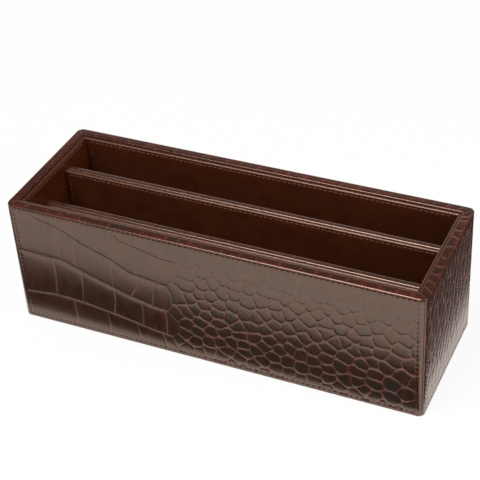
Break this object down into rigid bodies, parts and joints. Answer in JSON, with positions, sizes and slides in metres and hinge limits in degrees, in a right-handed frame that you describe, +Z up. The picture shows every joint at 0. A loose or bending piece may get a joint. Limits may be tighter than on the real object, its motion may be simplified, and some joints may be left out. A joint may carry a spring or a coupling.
{
  "type": "desk organizer",
  "caption": "Long open-topped desk organizer in dark brown embossed leather, with lengthwise compartments stepped down towards the front.",
  "frame": {"origin": "middle of the underside of the felt base, on the surface that the box stands on", "axes": "+X along the length to the right, +Y from the front to the back, +Z up"},
  "size_m": [0.34, 0.117, 0.111],
  "materials": {
    "embossed_leather": "embossed, semi-gloss",
    "lining_leather": "smooth, semi-gloss",
    "board": "raw fibreboard",
    "felt": "felt"
  },
  "bodies": {
    "root": {"back_board": "board", "back_lining": "lining_leather", "back_panel": "embossed_leather", "back_rim": "embossed_leather", "base_board": "board", "base_pad": "felt", "front_board": "board", "front_divider_board": "board", "front_divider_lining": "lining_leather", "front_divider_wrap": "embossed_leather", "front_floor_lining": "lining_leather", "front_lining": "lining_leather", "front_panel": "embossed_leather", "front_rim": "embossed_leather", "left_end_board": "board", "left_end_lining": "lining_leather", "left_end_panel": "embossed_leather", "left_rim": "embossed_leather", "middle_floor_lining": "lining_leather", "rear_divider_board": "board", "rear_divider_lining": "lining_leather", "rear_divider_wrap": "embossed_leather", "rear_floor_lining": "lining_leather", "right_end_board": "board", "right_end_lining": "lining_leather", "right_end_panel": "embossed_leather", "right_rim": "embossed_leather"}
  },
  "joints": []
}
